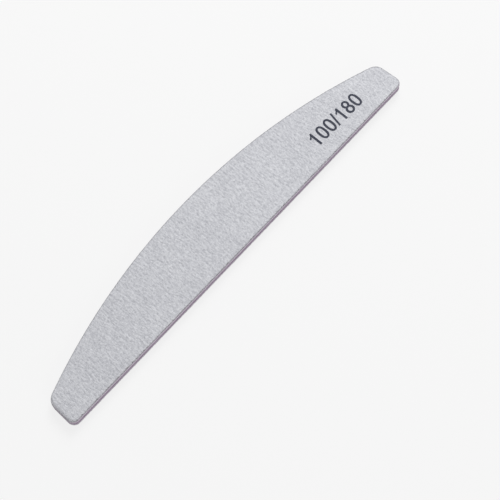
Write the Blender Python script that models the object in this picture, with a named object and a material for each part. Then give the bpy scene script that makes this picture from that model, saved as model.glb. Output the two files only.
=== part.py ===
"""A half-moon emery board: a stiff core between two foam layers and two abrasive sheets.

Units are metres and +Z is up. The board lies flat on its fine face, with its length along X, its
straight edge towards -Y and its curved edge towards +Y. The origin is on the surface it lies on,
under the middle of the board.
"""

import math
from dataclasses import dataclass

import bmesh
import bpy
import numpy as np

# The outline that the cutting die gives every layer
BOARD_LENGTH = 0.178
BOARD_WIDTH = 0.0286
END_HEIGHT = 0.0125
END_INSET = 0.0005
SHOULDER_RADIUS = 0.0046
HEEL_RADIUS = 0.0028

# The layers, from the middle of the board outwards
CORE_THICKNESS = 0.0015
FOAM_THICKNESS = 0.00085
ADHESIVE_THICKNESS = 0.00005
PAPER_THICKNESS = 0.00015
COARSE_COAT_THICKNESS = 0.00020
FINE_COAT_THICKNESS = 0.00014
BOND_CLEARANCE = 0.00001

# The rim, where the die pinches the sheets down into the foam before it cuts them
RIM_WIDTH = 0.0009
RIM_PINCH = 0.00015

# How finely the curves are divided
CROWN_STEPS = 32
SHOULDER_STEPS = 6
HEEL_STEPS = 6
RIM_STEPS = 4
SMOOTH_ANGLE = math.radians(30.0)


@dataclass(frozen=True)
class Finish:
    """What a layer is made of: its base colour and how rough it looks."""

    name: str
    colour: tuple
    roughness: float


GREY_COAT = Finish("grey_abrasive_coat", (0.55, 0.55, 0.57, 1.0), 0.85)
BACKING_PAPER = Finish("grey_backing_paper", (0.50, 0.50, 0.52, 1.0), 0.80)
CLEAR_ADHESIVE = Finish("clear_adhesive", (0.72, 0.66, 0.70, 1.0), 0.35)
PALE_FOAM = Finish("pale_lilac_foam", (0.72, 0.58, 0.74, 1.0), 0.90)
PLUM_PLASTIC = Finish("plum_plastic", (0.36, 0.18, 0.36, 1.0), 0.45)


@dataclass(frozen=True)
class Layer:
    """One sheet of the laminate.

    The rim of its lower or upper face moves by the pinch times lower_pull or upper_pull: up on the
    fine side, down on the coarse side, and not at all where the face lies against the stiff core.
    """

    name: str
    thickness: float
    finish: Finish
    lower_pull: int
    upper_pull: int


UP, FLAT, DOWN = 1, 0, -1

LAYERS_FROM_BELOW = (
    Layer("grit_coat_180", FINE_COAT_THICKNESS, GREY_COAT, UP, UP),
    Layer("backing_paper_180", PAPER_THICKNESS, BACKING_PAPER, UP, UP),
    Layer("paper_adhesive_180", ADHESIVE_THICKNESS, CLEAR_ADHESIVE, UP, UP),
    Layer("foam_layer_180", FOAM_THICKNESS, PALE_FOAM, UP, FLAT),
    Layer("core_adhesive_180", ADHESIVE_THICKNESS, CLEAR_ADHESIVE, FLAT, FLAT),
    Layer("core_board", CORE_THICKNESS, PLUM_PLASTIC, FLAT, FLAT),
    Layer("core_adhesive_100", ADHESIVE_THICKNESS, CLEAR_ADHESIVE, FLAT, FLAT),
    Layer("foam_layer_100", FOAM_THICKNESS, PALE_FOAM, FLAT, DOWN),
    Layer("paper_adhesive_100", ADHESIVE_THICKNESS, CLEAR_ADHESIVE, DOWN, DOWN),
    Layer("backing_paper_100", PAPER_THICKNESS, BACKING_PAPER, DOWN, DOWN),
    Layer("grit_coat_100", COARSE_COAT_THICKNESS, GREY_COAT, DOWN, DOWN),
)


def clear_scene():
    """Remove every object that the file opened with."""
    for thing in list(bpy.data.objects):
        bpy.data.objects.remove(thing, do_unlink=True)


def make_material(finish):
    """A Principled material of the finish's colour and roughness."""
    material = bpy.data.materials.new(finish.name)
    material.use_nodes = True
    shader = material.node_tree.nodes["Principled BSDF"]
    shader.inputs["Base Color"].default_value = finish.colour
    shader.inputs["Roughness"].default_value = finish.roughness
    shader.inputs["Metallic"].default_value = 0.0
    material.diffuse_color = finish.colour
    return material


def arc(centre, radius, start, stop, steps):
    """Points on a circle about centre, from the angle start to the angle stop, ends included."""
    angle = np.linspace(start, stop, steps + 1)
    return centre + radius * np.column_stack((np.cos(angle), np.sin(angle)))


class Outline:
    """The half-moon outline, as circles and straight runs that meet without a corner.

    The right end has three circles. The heel touches the straight edge and the end line. The end
    line leans in by END_INSET over END_HEIGHT. The crown passes through the top of the board and
    through the point where the end line reaches END_HEIGHT. The shoulder touches the end line and
    lies inside the crown, so its centre is found where both distances hold.
    """

    def __init__(self):
        half_length, half_width = BOARD_LENGTH / 2, BOARD_WIDTH / 2
        self.lean = math.atan2(END_INSET, END_HEIGHT)
        outwards = np.array([math.cos(self.lean), math.sin(self.lean)])
        upwards = np.array([-math.sin(self.lean), math.cos(self.lean)])

        self.heel = np.array([half_length - HEEL_RADIUS, HEEL_RADIUS - half_width])

        corner_y = END_HEIGHT - half_width
        heel_to_corner = corner_y - self.heel[1]
        corner_x = self.heel[0] + (HEEL_RADIUS - heel_to_corner * outwards[1]) / outwards[0]
        rise = half_width - corner_y
        self.crown_radius = (corner_x**2 + rise**2) / (2 * rise)
        self.crown = np.array([0.0, half_width - self.crown_radius])

        # The shoulder's centre slides along a line beside the end line until it is inside the crown
        from_crown = self.heel + (HEEL_RADIUS - SHOULDER_RADIUS) * outwards - self.crown
        along = from_crown @ upwards
        reach = (self.crown_radius - SHOULDER_RADIUS) ** 2 - from_crown @ from_crown
        slide = math.sqrt(along**2 + reach) - along
        self.shoulder = self.crown + from_crown + slide * upwards
        crown_to_shoulder = self.shoulder - self.crown
        self.crown_angle = math.atan2(crown_to_shoulder[1], crown_to_shoulder[0])

    def points(self, inset):
        """The outline moved inwards by inset, anticlockwise from the right heel, as an (n, 2) array."""
        straight_edge_angle = -math.pi / 2
        heel = arc(self.heel, HEEL_RADIUS - inset, straight_edge_angle, self.lean, HEEL_STEPS)
        shoulder = arc(
            self.shoulder, SHOULDER_RADIUS - inset, self.lean, self.crown_angle, SHOULDER_STEPS
        )
        crown_ends = self.crown_angle, math.pi - self.crown_angle
        crown = arc(self.crown, self.crown_radius - inset, *crown_ends, CROWN_STEPS)
        right_end = np.vstack((heel, shoulder))
        left_end = right_end[::-1] * (-1, 1)
        return np.vstack((right_end, crown[1:-1], left_end))


def rim_pinch(inset):
    """How far the die has pulled the sheet's face in, at a distance inset from the cut edge.

    It is RIM_PINCH at the edge and eases out to nothing at RIM_WIDTH, as a parabola.
    """
    return RIM_PINCH * (1 - inset / RIM_WIDTH) ** 2


def face_rings(outline, height, pull):
    """One face of a layer as closed rings of points, from its flat middle out to the cut edge.

    A flat face is a single ring at the cut edge. A pinched face has more rings across its rim.
    """
    insets = np.linspace(RIM_WIDTH, 0.0, RIM_STEPS + 1) if pull else np.zeros(1)
    rings = []
    for inset in insets:
        flat = outline.points(inset)
        level = np.full((len(flat), 1), height + pull * rim_pinch(inset))
        rings.append(np.hstack((flat, level)))
    return rings


def loft(name, rings):
    """A closed mesh through the rings, one after another, with a flat cap on the first and the last."""
    builder = bmesh.new()
    loops = [[builder.verts.new(point) for point in ring] for ring in rings]
    builder.faces.new(reversed(loops[0]))
    for lower, upper in zip(loops, loops[1:]):
        for i in range(len(lower)):
            following = (i + 1) % len(lower)
            builder.faces.new((lower[i], lower[following], upper[following], upper[i]))
    builder.faces.new(loops[-1])
    mesh = bpy.data.meshes.new(name)
    builder.to_mesh(mesh)
    builder.free()
    mesh.shade_smooth()
    mesh.set_sharp_from_angle(angle=SMOOTH_ANGLE)
    return mesh


def build_layer(layer, outline, material):
    """The layer's solid, with its lower face's flat middle at height zero of its own origin."""
    lower_face = face_rings(outline, 0.0, layer.lower_pull)
    upper_face = face_rings(outline, layer.thickness, layer.upper_pull)
    mesh = loft(layer.name, lower_face + upper_face[::-1])
    mesh.materials.append(material)
    thing = bpy.data.objects.new(layer.name, mesh)
    bpy.context.scene.collection.objects.link(thing)
    return thing


def build_board():
    """Stack the layers from the fine face up, each one BOND_CLEARANCE above the last."""
    board = bpy.data.objects.new("nail_file", None)
    bpy.context.scene.collection.objects.link(board)
    outline = Outline()
    materials = {}
    level = 0.0
    for layer in LAYERS_FROM_BELOW:
        if layer.finish not in materials:
            materials[layer.finish] = make_material(layer.finish)
        thing = build_layer(layer, outline, materials[layer.finish])
        thing.parent = board
        thing.location.z = level
        level += layer.thickness + BOND_CLEARANCE


clear_scene()
build_board()
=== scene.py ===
"""The looks of a half-moon emery board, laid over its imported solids.

Everything is in metres in the part's own frame: the board lies on its fine face, its length along X,
its straight edge towards -Y, its curved edge towards +Y and its marked coarse face up. Each layer is
rebuilt from one outline as a finely divided surface, with its pinched rim, its crinkles, its chipped
cut and its pores in the mesh. The materials add what is finer than that.
"""

import logging
import math
from dataclasses import dataclass, field
from enum import Enum, IntEnum

import bmesh
import bpy
import numpy as np
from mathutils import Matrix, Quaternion, Vector
from numpy.typing import NDArray


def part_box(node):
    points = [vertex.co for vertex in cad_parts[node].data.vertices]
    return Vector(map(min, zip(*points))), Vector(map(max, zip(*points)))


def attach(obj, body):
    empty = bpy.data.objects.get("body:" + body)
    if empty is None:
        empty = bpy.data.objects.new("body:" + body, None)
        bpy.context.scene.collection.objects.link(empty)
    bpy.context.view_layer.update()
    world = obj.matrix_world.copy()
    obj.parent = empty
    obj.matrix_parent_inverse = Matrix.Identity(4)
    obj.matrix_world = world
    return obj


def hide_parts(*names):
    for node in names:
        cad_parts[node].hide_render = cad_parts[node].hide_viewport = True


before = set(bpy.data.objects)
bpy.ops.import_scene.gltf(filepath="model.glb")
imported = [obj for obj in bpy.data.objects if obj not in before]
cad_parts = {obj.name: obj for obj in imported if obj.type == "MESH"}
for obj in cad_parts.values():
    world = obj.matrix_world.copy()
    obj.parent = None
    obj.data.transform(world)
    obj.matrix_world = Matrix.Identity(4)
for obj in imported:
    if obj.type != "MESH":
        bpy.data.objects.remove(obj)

Array = NDArray[np.float64]
Indices = NDArray[np.int64]
Colour = tuple[float, float, float, float]
Span = tuple[float, float]
Socket = bpy.types.NodeSocket
Sockets = bpy.types.bpy_prop_collection
Feeds = dict[str, Socket | Colour | float]

MM = 0.001
WHITE = (1.0, 1.0, 1.0, 1.0)
BODY = "root"
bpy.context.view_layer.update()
log = logging.getLogger("emery_board")


class Pull(IntEnum):
    """Which way the die has drawn the rim of a face."""

    UP = 1
    FLAT = 0
    DOWN = -1


class Grade(Enum):
    """The two abrasive grades, by the numbers that end the names of their nodes."""

    COARSE = "100"
    FINE = "180"

    @property
    def outward(self) -> int:
        """The sign of Z that points out of the board on this grade's side."""
        return 1 if self is Grade.COARSE else -1

    @property
    def rim_pull(self) -> Pull:
        """The way that the rims on this grade's side are drawn, which is into the board."""
        return Pull(-self.outward)


class Pattern(Enum):
    """What band-limited noise looks like."""

    RIDGES = "long ridges along the second axis"
    CELLS = "round cells"


def srgb(red: int, green: int, blue: int) -> Colour:
    """A colour given as it looks on screen, in 0 to 255, as the linear colour that shaders take.

    A share s of the full level is s / 12.92 up to 0.04045, and ((s + 0.055) / 1.055)^2.4 above it.

    Args:
        red: The red level.
        green: The green level.
        blue: The blue level.

    Returns:
        Linear red, green, blue, and 1.
    """
    shares = np.array((red, green, blue)) / 255
    linear = np.where(shares <= 0.04045, shares / 12.92, ((shares + 0.055) / 1.055) ** 2.4)
    return (*linear.tolist(), 1.0)


def smooth_step(share: Array) -> Array:
    """The share held between 0 and 1 and eased at both ends, as 3s^2 - 2s^3."""
    held = np.clip(share, 0, 1)
    return held * held * (3 - 2 * held)


@dataclass
class Noise:
    """Seeded noise on a rectangle that repeats at its borders, with zero mean and unit spread.

    White noise is filtered in frequency space. With u and v the waves per pitch along the two axes,
    the filter is exp(-((u - 1) / band)^2 / 2) exp(-v^2 / 2) for ridges, and
    exp(-((hypot(u, v) - 1) / band)^2 / 2) for cells.
    """

    size: tuple[float, float]
    pitch: tuple[float, float]
    seed: int
    pattern: Pattern = Pattern.CELLS
    band: float = 0.45
    samples_per_pitch: int = 10
    values: Array = field(init=False, repr=False)

    def __post_init__(self) -> None:
        """Fill the rectangle's samples."""
        counts = [
            max(self.samples_per_pitch, round(extent / pitch * self.samples_per_pitch))
            for extent, pitch in zip(self.size, self.pitch)
        ]
        white = np.random.default_rng(self.seed).standard_normal(counts)
        waves = [
            np.abs(np.fft.fftfreq(count, extent / count)) * pitch
            for count, extent, pitch in zip(counts, self.size, self.pitch)
        ]
        first, second = np.meshgrid(*waves, indexing="ij")
        if self.pattern is Pattern.RIDGES:
            weight = np.exp(-(((first - 1) / self.band) ** 2) / 2 - second**2 / 2)
        else:
            weight = np.exp(-(((np.hypot(first, second) - 1) / self.band) ** 2) / 2)
        weight[0, 0] = 0
        values = np.real(np.fft.ifft2(np.fft.fft2(white) * weight))
        self.values = values / values.std()

    def at(self, first: Array, second: Array) -> Array:
        """The noise at points of the rectangle, between their four nearest samples.

        Args:
            first: Places along the first axis, in metres.
            second: Places along the second axis, in metres.

        Returns:
            The noise at each place.
        """
        rows, columns = self.values.shape
        row, column = first / self.size[0] * rows, second / self.size[1] * columns
        low_row, low_column = np.floor(row).astype(int), np.floor(column).astype(int)
        past_row, past_column = row - low_row, column - low_column
        here, next_row = low_row % rows, (low_row + 1) % rows
        left, right = low_column % columns, (low_column + 1) % columns
        lower = self.values[here, left] * (1 - past_row) + self.values[next_row, left] * past_row
        upper = self.values[here, right] * (1 - past_row) + self.values[next_row, right] * past_row
        return lower * (1 - past_column) + upper * past_column


@dataclass
class Boundary:
    """Samples of the outline, anticlockwise, as the four sides of a patch.

    The sides are the straight edge, the right end, the curved edge and the left end, and they meet in
    the middles of the round corners.
    """

    points: Array
    normals: Array
    distance: Array
    perimeter: float
    along: int
    across: int

    @property
    def count(self) -> int:
        """How many samples there are."""
        return len(self.points)

    def sides(self) -> list[Indices]:
        """The numbers of each side's samples, with both its corners.

        Returns:
            The straight edge and the right end, then the curved edge and the left end the other way
            round, so that each pair runs the same way.
        """
        numbers = np.append(np.arange(self.count), 0)
        corners = np.cumsum((0, self.along, self.across, self.along, self.across))
        edge, right, curve, left = (numbers[a : b + 1] for a, b in zip(corners, corners[1:]))
        return [edge, right, curve[::-1], left[::-1]]


@dataclass
class Outline:
    """The half-moon that the die cuts: circles and straight runs that meet without a corner.

    It is the same outline as the solids have. The heel touches the straight edge and the end line,
    which leans in by end_inset over end_height. The crown passes through the top of the board and
    through the point where the end line reaches end_height. The shoulder touches the end line and lies
    inside the crown.
    """

    length: float
    width: float
    end_height: float = 12.5 * MM
    end_inset: float = 0.5 * MM
    shoulder_radius: float = 4.6 * MM
    heel_radius: float = 2.8 * MM
    knots: Array = field(init=False, repr=False)
    angles: Array = field(init=False, repr=False)
    origins: Array = field(init=False, repr=False)
    radii: Array = field(init=False, repr=False)

    def __post_init__(self) -> None:
        """Work out the runs, anticlockwise from the left end of the straight edge.

        A run has the outline's normal angle at its start, a radius, which is zero on a straight run,
        and an origin, which is the circle's centre or the straight run's start.
        """
        half_length, half_width = self.length / 2, self.width / 2
        lean = math.atan2(self.end_inset, self.end_height)
        outwards = np.array((math.cos(lean), math.sin(lean)))
        upwards = np.array((-math.sin(lean), math.cos(lean)))
        heel = np.array((half_length - self.heel_radius, self.heel_radius - half_width))

        corner_y = self.end_height - half_width
        heel_to_corner = corner_y - heel[1]
        corner_x = heel[0] + (self.heel_radius - heel_to_corner * outwards[1]) / outwards[0]
        rise = half_width - corner_y
        crown_radius = (corner_x**2 + rise**2) / (2 * rise)
        crown = np.array((0.0, half_width - crown_radius))

        from_crown = heel + (self.heel_radius - self.shoulder_radius) * outwards - crown
        back = from_crown @ upwards
        reach = (crown_radius - self.shoulder_radius) ** 2 - from_crown @ from_crown
        shoulder = crown + from_crown + (math.sqrt(back**2 + reach) - back) * upwards
        crown_angle = math.atan2(*(shoulder - crown)[::-1])

        down = -math.pi / 2
        mirrored = np.array((-1.0, 1.0))
        end_foot = heel + self.heel_radius * outwards
        end_top = shoulder + self.shoulder_radius * outwards
        heel_foot = heel - (0.0, self.heel_radius)
        turns = (down, down, lean, lean, crown_angle)
        self.angles = np.array((*turns, *(math.pi - turn for turn in turns[:0:-1])))
        end_radii = (self.heel_radius, 0.0, self.shoulder_radius)
        self.radii = np.array((0.0, *end_radii, crown_radius, *end_radii[::-1]))
        ends = (heel, end_foot, shoulder, crown, shoulder * mirrored, end_top * mirrored, heel * mirrored)
        self.origins = np.array((heel_foot * mirrored, *ends))
        straight = np.linalg.norm(end_top - end_foot)
        flat = (2 * heel_foot[0], 0, straight, 0, 0, 0, straight, 0)
        lengths = np.diff(self.angles) * self.radii + flat
        self.knots = np.concatenate(([0.0], np.cumsum(lengths)))

    def at(self, distance: Array) -> tuple[Array, Array]:
        """Points and outward normals of the outline.

        On a circle the point is the centre plus the radius times the normal. On a straight run it is
        the run's start plus the distance along it times the tangent.

        Args:
            distance: Distances along the outline from the left end of the straight edge.

        Returns:
            The points and the normals, each as an (n, 2) array.
        """
        wrapped = np.mod(distance, self.knots[-1])
        run = np.clip(np.searchsorted(self.knots, wrapped, "right") - 1, 0, len(self.radii) - 1)
        angle = np.interp(wrapped, self.knots, self.angles)
        normal = np.column_stack((np.cos(angle), np.sin(angle)))
        tangent = np.column_stack((-normal[:, 1], normal[:, 0]))
        radius = self.radii[run][:, None]
        along = np.where(radius > 0, 0.0, (wrapped - self.knots[run])[:, None])
        return self.origins[run] + radius * normal + along * tangent, normal

    def boundary(self, along: int, across: int) -> Boundary:
        """The outline's samples, evenly spaced on each side of the patch.

        Args:
            along: Cells on each long side.
            across: Cells on each end.

        Returns:
            The samples, with the first one in the middle of the left heel.
        """
        middles = (self.knots[:-1] + self.knots[1:]) / 2
        right_heel, right_shoulder, left_shoulder, left_heel = middles[[1, 3, 5, 7]]
        corners = (left_heel - self.knots[-1], right_heel, right_shoulder, left_shoulder, left_heel)
        counts = (along, across, along, across)
        sides = [
            np.linspace(start, stop, count, endpoint=False)
            for start, stop, count in zip(corners, corners[1:], counts)
        ]
        distance = np.concatenate(sides)
        points, normals = self.at(distance)
        return Boundary(points, normals, distance, float(self.knots[-1]), along, across)


@dataclass
class Pinch:
    """How the die pulls a sheet's face in as it cuts, and how its blade leans.

    A parabola over the rim's width is what the solids have. The sheet also curls down more sharply
    right beside the cut, which is a second, narrower parabola. The blade leans, so the sheets over the
    core are cut back less where the outline faces along blade_lean, and more where it faces away.
    Under the core it is the other way round.
    """

    width: float = 0.9 * MM
    depth: float = 0.15 * MM
    curl_width: float = 0.45 * MM
    curl_depth: float = 0.03 * MM
    draw_width: float = 0.6 * MM
    blade_lean: tuple[float, float] = (0.40, 0.70)

    def at(self, inset: Array) -> Array:
        """The depth at a distance inset from the cut.

        It is depth (1 - inset / width)^2 + curl_depth (1 - inset / curl_width)^2, where each term
        ends at its own width.

        Args:
            inset: The distances, in metres.

        Returns:
            The depth at each.
        """
        rim = self.depth * np.clip(1 - inset / self.width, 0, None) ** 2
        return rim + self.curl_depth * np.clip(1 - inset / self.curl_width, 0, None) ** 2

    def drawn(self, inset: Array) -> Array:
        """The share of a cut's own step back that a point takes: 1 - inset / draw_width, then nothing."""
        return np.clip(1 - inset / self.draw_width, 0, None)


def grid_quads(ids: Indices, wraps: bool = False) -> Indices:
    """The quads of a grid of point numbers, each as (here, next row, next row and column, next column).

    Args:
        ids: Point numbers, by row and column.
        wraps: Whether the last column joins the first.

    Returns:
        The quads, as an (n, 4) array.
    """
    if wraps:
        ids = np.column_stack((ids, ids[:, :1]))
    quads = (ids[:-1, :-1], ids[1:, :-1], ids[1:, 1:], ids[:-1, 1:])
    return np.stack([corner.ravel() for corner in quads], axis=1)


def make_mesh(name: str, points: Array, faces: list[Indices]) -> bpy.types.Mesh:
    """A mesh of whole arrays.

    Args:
        name: The mesh's name.
        points: The points, as an (n, 3) array.
        faces: Arrays of faces, each with the same number of corners all through.

    Returns:
        The mesh.
    """
    corners = np.concatenate([group.ravel() for group in faces])
    sizes = np.concatenate([np.full(len(group), group.shape[1]) for group in faces])
    starts = np.concatenate(([0], np.cumsum(sizes)[:-1]))
    mesh = bpy.data.meshes.new(name)
    mesh.vertices.add(len(points))
    mesh.vertices.foreach_set("co", points.astype(np.float32).ravel())
    mesh.loops.add(len(corners))
    mesh.loops.foreach_set("vertex_index", corners.astype(np.int32))
    mesh.polygons.add(len(sizes))
    mesh.polygons.foreach_set("loop_start", starts.astype(np.int32))
    mesh.update(calc_edges=True)
    return mesh


def add_object(name: str, data: bpy.types.ID) -> bpy.types.Object:
    """Put a mesh, a lamp or a camera into the scene.

    Args:
        name: The object's name.
        data: What it holds.

    Returns:
        The object, at the origin.
    """
    thing = bpy.data.objects.new(name, data)
    bpy.context.scene.collection.objects.link(thing)
    return thing


def add_piece(name: str, mesh: bpy.types.Mesh, material: bpy.types.Material) -> bpy.types.Object:
    """Put a piece of the board into the scene, riding on its one body.

    Args:
        name: The piece's name.
        mesh: Its mesh.
        material: Its material.

    Returns:
        The piece.
    """
    mesh.materials.append(material)
    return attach(add_object(name, mesh), BODY)


class Nodes:
    """The nodes of one material or group, with short ways to add and join them."""

    def __init__(self, tree: bpy.types.NodeTree) -> None:
        """Work on this tree."""
        self.tree = tree

    def feed(self, target: Socket, value: Socket | Colour | float) -> None:
        """Give an input what it takes.

        Args:
            target: The input.
            value: A socket to join to it, or a plain value.
        """
        if isinstance(value, bpy.types.NodeSocket):
            self.tree.links.new(value, target)
        else:
            target.default_value = value

    def add(self, kind: str, inputs: dict | None = None, **settings: object) -> bpy.types.Node:
        """Add a node.

        Args:
            kind: The node's type, without ShaderNode in front.
            inputs: What each input takes, by name or number.
            settings: The node's own properties.

        Returns:
            The node.
        """
        node = self.tree.nodes.new("ShaderNode" + kind)
        for name, value in settings.items():
            setattr(node, name, value)
        for name, value in (inputs or {}).items():
            self.feed(node.inputs[name], value)
        return node

    def place(self) -> Socket:
        """The point's place on the piece."""
        return self.add("TexCoord").outputs["Object"]

    def stretched(self, place: Socket, shares: tuple[float, float, float]) -> Socket:
        """The place with each coordinate cut to a share, which stretches what reads it."""
        return self.add("VectorMath", {0: place, 1: shares}, operation="MULTIPLY").outputs[0]

    def attribute(self, name: str) -> Socket:
        """A value that the mesh holds at its points."""
        return self.add("Attribute", attribute_name=name).outputs["Fac"]

    def maths(self, operation: str, *values: Socket | float) -> Socket:
        """One step of arithmetic on sockets and plain numbers."""
        return self.add("Math", dict(enumerate(values)), operation=operation).outputs[0]

    def between(self, value: Socket, low: float, high: float) -> Socket:
        """0 where the value is at low or under, 1 at high or over, and eased between them."""
        ends = {"Value": value, "From Min": low, "From Max": high}
        return self.add("MapRange", ends, interpolation_type="SMOOTHSTEP").outputs["Result"]

    def mix(self, share: Socket | float, start: Socket | Colour, stop: Socket | Colour) -> Socket:
        """Mix two colours.

        Args:
            share: The share of the second colour.
            start: The first colour.
            stop: The second colour.

        Returns:
            The colour between them.
        """
        node = self.add("Mix", data_type="RGBA")
        colours = {"Factor": share, "A": start, "B": stop}
        for socket in node.inputs:
            if socket.name in colours and socket.enabled:
                self.feed(socket, colours[socket.name])
        return next(socket for socket in node.outputs if socket.enabled)

    def noise(self, place: Socket, pitch: float, detail: float = 2.0) -> Socket:
        """Soft noise from 0 to 1, with lumps of about one pitch."""
        inputs = {"Vector": place, "Scale": 1 / pitch, "Detail": detail}
        return self.add("TexNoise", inputs).outputs["Fac"]

    def effect(self, kind: "Effect", place: Socket, pitch: float, **more: float) -> Sockets:
        """The outputs of a shared effect, which gets this material's own values."""
        inputs = {"Vector": place, "Scale": 1 / pitch, **more}
        return self.add("Group", inputs, node_tree=kind.tree()).outputs

    def mirror_seen(self) -> Socket:
        """1 for rays from the camera, from a mirror or through glass, and 0 for the others.

        Returns:
            That share.
        """
        rays = self.add("LightPath").outputs
        seen = self.maths("MAXIMUM", rays["Is Camera Ray"], rays["Is Glossy Ray"])
        return self.maths("MAXIMUM", seen, rays["Is Transmission Ray"])

    def bump(self, height: Socket, depth: float) -> Socket:
        """The normal of a surface that the height, from 0 to 1, raises by up to depth metres."""
        inputs = {"Height": height, "Distance": depth, "Strength": 1.0}
        return self.add("Bump", inputs).outputs["Normal"]


class Effect(Enum):
    """The shared effects, each a shader node group that is built once."""

    GRAINS = "grains"
    CREASES = "creases"
    SPECKS = "specks"
    DRAG_MARKS = "drag_marks"

    def tree(self) -> bpy.types.NodeTree:
        """Build the effect's node group, or find it if it is built.

        Returns:
            The group.
        """
        builders = {
            Effect.GRAINS: build_grains,
            Effect.CREASES: build_creases,
            Effect.SPECKS: build_specks,
            Effect.DRAG_MARKS: build_drag_marks,
        }
        return bpy.data.node_groups.get(self.value) or builders[self](self.value)


def start_group(
    name: str, outputs: tuple[str, ...], extra: tuple[str, ...] = ()
) -> tuple[Nodes, Sockets, Sockets]:
    """Start a node group that takes a Vector and a Scale, which is how many go into a metre.

    Args:
        name: The group's name.
        outputs: The names of its outputs, each one number.
        extra: The names of its further inputs, each one number.

    Returns:
        The group's nodes, the sockets that bring its inputs in and those that take its outputs.
    """
    tree = bpy.data.node_groups.new(name, "ShaderNodeTree")
    tree.interface.new_socket("Vector", in_out="INPUT", socket_type="NodeSocketVector")
    for socket in ("Scale", *extra):
        tree.interface.new_socket(socket, in_out="INPUT", socket_type="NodeSocketFloat")
    for socket in outputs:
        tree.interface.new_socket(socket, in_out="OUTPUT", socket_type="NodeSocketFloat")
    entry = tree.nodes.new("NodeGroupInput")
    leave = tree.nodes.new("NodeGroupOutput")
    return Nodes(tree), entry.outputs, leave.inputs


def build_grains(name: str) -> bpy.types.NodeTree:
    """Grains packed side by side, each with its own tone.

    Tone is each grain's own number from 0 to 1, softened by fine noise, and Height is 1 in the middle
    of a grain and falls off towards its rim.

    Args:
        name: The group's name.

    Returns:
        The group.
    """
    nodes, entry, leave = start_group(name, ("Tone", "Height"))
    scaled = {"Vector": entry["Vector"], "Scale": entry["Scale"]}
    cells = nodes.add("TexVoronoi", scaled).outputs
    own = nodes.add("SeparateColor", {"Color": cells["Color"]}).outputs["Red"]
    fine = nodes.add("TexNoise", {**scaled, "Detail": 3.0}).outputs["Fac"]
    own_share = 0.6
    fine = nodes.maths("MULTIPLY", fine, 1 - own_share)
    nodes.feed(leave["Tone"], nodes.maths("MULTIPLY_ADD", own, own_share, fine))
    nodes.feed(leave["Height"], nodes.maths("SUBTRACT", 1.0, cells["Distance"]))
    return nodes.tree


def build_creases(name: str) -> bpy.types.NodeTree:
    """Fine creases across the board, in a coat that shrank as it dried.

    The place is shrunk along Y before the noise reads it, so the lumps stretch that way. Tone and
    Height both run from 0 in a crease to 1 between two.

    Args:
        name: The group's name.

    Returns:
        The group.
    """
    nodes, entry, leave = start_group(name, ("Tone", "Height"))
    shrunk = nodes.stretched(entry["Vector"], (1.0, 0.32, 1.0))
    lumps = {"Vector": shrunk, "Scale": entry["Scale"], "Detail": 1.5, "Distortion": 0.15}
    noise = nodes.add("TexNoise", lumps).outputs["Fac"]
    crease, pale, high = 0.25, 0.68, 0.60
    # Tone is darker in a crease, partly painted shade.
    nodes.feed(leave["Tone"], nodes.between(noise, crease, pale))
    nodes.feed(leave["Height"], nodes.between(noise, crease, high))
    return nodes.tree


def build_specks(name: str) -> bpy.types.NodeTree:
    """Single specks, strewn so that only some places have one.

    Share is the share of the places that have a speck. Mask is 1 on a speck and 0 between them.

    Args:
        name: The group's name.

    Returns:
        The group.
    """
    nodes, entry, leave = start_group(name, ("Mask",), extra=("Share",))
    cells = nodes.add("TexVoronoi", {"Vector": entry["Vector"], "Scale": entry["Scale"]}).outputs
    own = nodes.add("SeparateColor", {"Color": cells["Color"]}).outputs["Green"]
    chosen = nodes.maths("LESS_THAN", own, entry["Share"])
    rim, core = 0.34, 0.22
    close = nodes.between(cells["Distance"], rim, core)
    nodes.feed(leave["Mask"], nodes.maths("MULTIPLY", chosen, close))
    return nodes.tree


def build_drag_marks(name: str) -> bpy.types.NodeTree:
    """Lines that the die's blade leaves on a cut edge, from the top face to the bottom.

    The place's height is shrunk before the noise reads it, so the lumps stretch into upright lines.
    Tone and Height both run from 0 to 1.

    Args:
        name: The group's name.

    Returns:
        The group.
    """
    nodes, entry, leave = start_group(name, ("Tone", "Height"))
    shrunk = nodes.stretched(entry["Vector"], (1.0, 1.0, 0.06))
    lines = {"Vector": shrunk, "Scale": entry["Scale"], "Detail": 4.0}
    noise = nodes.add("TexNoise", lines).outputs["Fac"]
    dark, pale = 0.3, 0.7
    nodes.feed(leave["Tone"], nodes.between(noise, dark, pale))
    nodes.feed(leave["Height"], noise)
    return nodes.tree


@dataclass(frozen=True)
class Finish:
    """What every finish has: its material's name, its roughness and its shader's specular level."""

    name: str
    roughness: float
    specular: float = 0.5

    def material(self) -> bpy.types.Material:
        """Build the finish's material, or find it if it is built.

        Returns:
            The material.
        """
        found = bpy.data.materials.get(self.name)
        if found is not None:
            return found
        made = bpy.data.materials.new(self.name)
        made.use_nodes = True
        nodes = Nodes(made.node_tree)
        shader = made.node_tree.nodes["Principled BSDF"]
        levels = {"Roughness": self.roughness, "Specular IOR Level": self.specular}
        for feeds in (levels, self.paint(nodes)):
            for name, value in feeds.items():
                nodes.feed(shader.inputs[name], value)
        return made

    def paint(self, nodes: Nodes) -> Feeds:
        """What each of the shader's inputs takes, by its name."""
        raise NotImplementedError


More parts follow.
